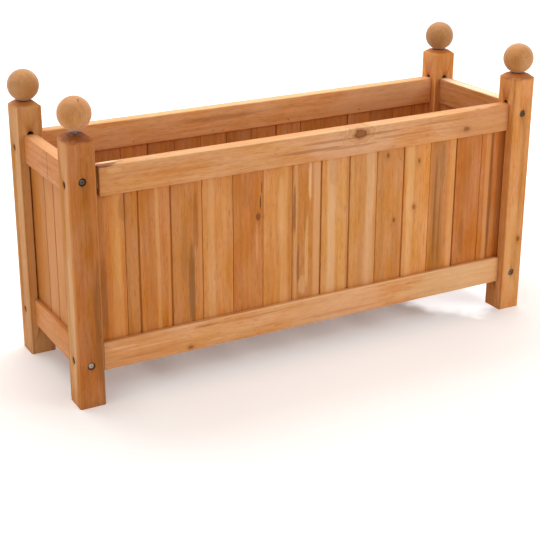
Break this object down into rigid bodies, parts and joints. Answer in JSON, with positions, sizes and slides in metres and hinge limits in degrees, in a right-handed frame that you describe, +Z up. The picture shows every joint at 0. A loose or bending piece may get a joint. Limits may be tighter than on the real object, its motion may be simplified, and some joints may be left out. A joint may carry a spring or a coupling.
{
  "type": "window box planter",
  "caption": "Rectangular wooden trough on four posts with ball finials, tongue and groove boards between rails and a slatted base; holds soil, pots or an inner liner for plants.",
  "frame": {"origin": "on the ground, under the middle of the trough", "axes": "+X along the trough, to the right as seen from the front; +Y from the front side to the back side; +Z up. The front side faces -Y."},
  "size_m": [0.8078, 0.2598, 0.4582],
  "materials": {
    "post_wood": "oiled, planed hardwood",
    "rail_wood": "oiled, planed hardwood",
    "board_wood": "oiled, machined tongue and groove hardwood",
    "base_wood": "sawn hardwood, lightly oiled",
    "turned_wood": "turned and sanded hardwood, lightly oiled",
    "zinc_plated_steel": "bright zinc plated",
    "bright_nail_steel": "plain drawn wire, dulled"
  },
  "bodies": {
    "trough": {"back_board_01": "board_wood", "back_board_02": "board_wood", "back_board_03": "board_wood", "back_board_04": "board_wood", "back_board_05": "board_wood", "back_board_06": "board_wood", "back_board_07": "board_wood", "back_board_08": "board_wood", "back_board_09": "board_wood", "back_board_10": "board_wood", "back_board_11": "board_wood", "back_board_12": "board_wood", "back_board_13": "board_wood", "back_board_14": "board_wood", "back_board_15": "board_wood", "back_board_16": "board_wood", "back_bottom_rail": "rail_wood", "back_left_post": "post_wood", "back_right_post": "post_wood", "back_top_rail": "rail_wood", "base_ledgers": "base_wood", "base_slats": "base_wood", "board_pins": "bright_nail_steel", "end_rail_screws": "zinc_plated_steel", "front_board_01": "board_wood", "front_board_02": "board_wood", "front_board_03": "board_wood", "front_board_04": "board_wood", "front_board_05": "board_wood", "front_board_06": "board_wood", "front_board_07": "board_wood", "front_board_08": "board_wood", "front_board_09": "board_wood", "front_board_10": "board_wood", "front_board_11": "board_wood", "front_board_12": "board_wood", "front_board_13": "board_wood", "front_board_14": "board_wood", "front_board_15": "board_wood", "front_bottom_rail": "rail_wood", "front_left_post": "post_wood", "front_right_post": "post_wood", "front_top_rail": "rail_wood", "ledger_nails": "bright_nail_steel", "left_bottom_rail": "rail_wood", "left_end_boards": "board_wood", "left_top_rail": "rail_wood", "long_rail_screws": "zinc_plated_steel", "right_bottom_rail": "rail_wood", "right_end_boards": "board_wood", "right_top_rail": "rail_wood", "slat_nails": "bright_nail_steel"},
    "front_left_screw": {"front_left_dowel_screw": "zinc_plated_steel"},
    "front_left_ball": {"front_left_finial_ball": "turned_wood"},
    "front_right_screw": {"front_right_dowel_screw": "zinc_plated_steel"},
    "front_right_ball": {"front_right_finial_ball": "turned_wood"},
    "back_left_screw": {"back_left_dowel_screw": "zinc_plated_steel"},
    "back_left_ball": {"back_left_finial_ball": "turned_wood"},
    "back_right_screw": {"back_right_dowel_screw": "zinc_plated_steel"},
    "back_right_ball": {"back_right_finial_ball": "turned_wood"}
  },
  "joints": [
    {"name": "front_left_finial_turn", "type": "hinge", "parent": "trough", "child": "front_left_screw", "pos_m": [-0.38, -0.106, 0.406], "axis": [0, 0, 1], "range_deg": [-720, 1440]},
    {"name": "front_left_finial_rise", "type": "slide", "parent": "front_left_screw", "child": "front_left_ball", "axis": [0, 0, 1], "range_m": [-0.005, 0.01]},
    {"name": "front_right_finial_turn", "type": "hinge", "parent": "trough", "child": "front_right_screw", "pos_m": [0.38, -0.106, 0.406], "axis": [0, 0, 1], "range_deg": [0, 2160]},
    {"name": "front_right_finial_rise", "type": "slide", "parent": "front_right_screw", "child": "front_right_ball", "axis": [0, 0, 1], "range_m": [0, 0.015]},
    {"name": "back_left_finial_turn", "type": "hinge", "parent": "trough", "child": "back_left_screw", "pos_m": [-0.38, 0.106, 0.406], "axis": [0, 0, 1], "range_deg": [0, 2160]},
    {"name": "back_left_finial_rise", "type": "slide", "parent": "back_left_screw", "child": "back_left_ball", "axis": [0, 0, 1], "range_m": [0, 0.015]},
    {"name": "back_right_finial_turn", "type": "hinge", "parent": "trough", "child": "back_right_screw", "pos_m": [0.38, 0.106, 0.406], "axis": [0, 0, 1], "range_deg": [0, 2160]},
    {"name": "back_right_finial_rise", "type": "slide", "parent": "back_right_screw", "child": "back_right_ball", "axis": [0, 0, 1], "range_m": [0, 0.015]}
  ],
  "couplings": [
    {"joint": "front_left_finial_rise", "follows": "front_left_finial_turn", "m_per_rad": 0.00039789},
    {"joint": "front_right_finial_rise", "follows": "front_right_finial_turn", "m_per_rad": 0.00039789},
    {"joint": "back_left_finial_rise", "follows": "back_left_finial_turn", "m_per_rad": 0.00039789},
    {"joint": "back_right_finial_rise", "follows": "back_right_finial_turn", "m_per_rad": 0.00039789}
  ]
}
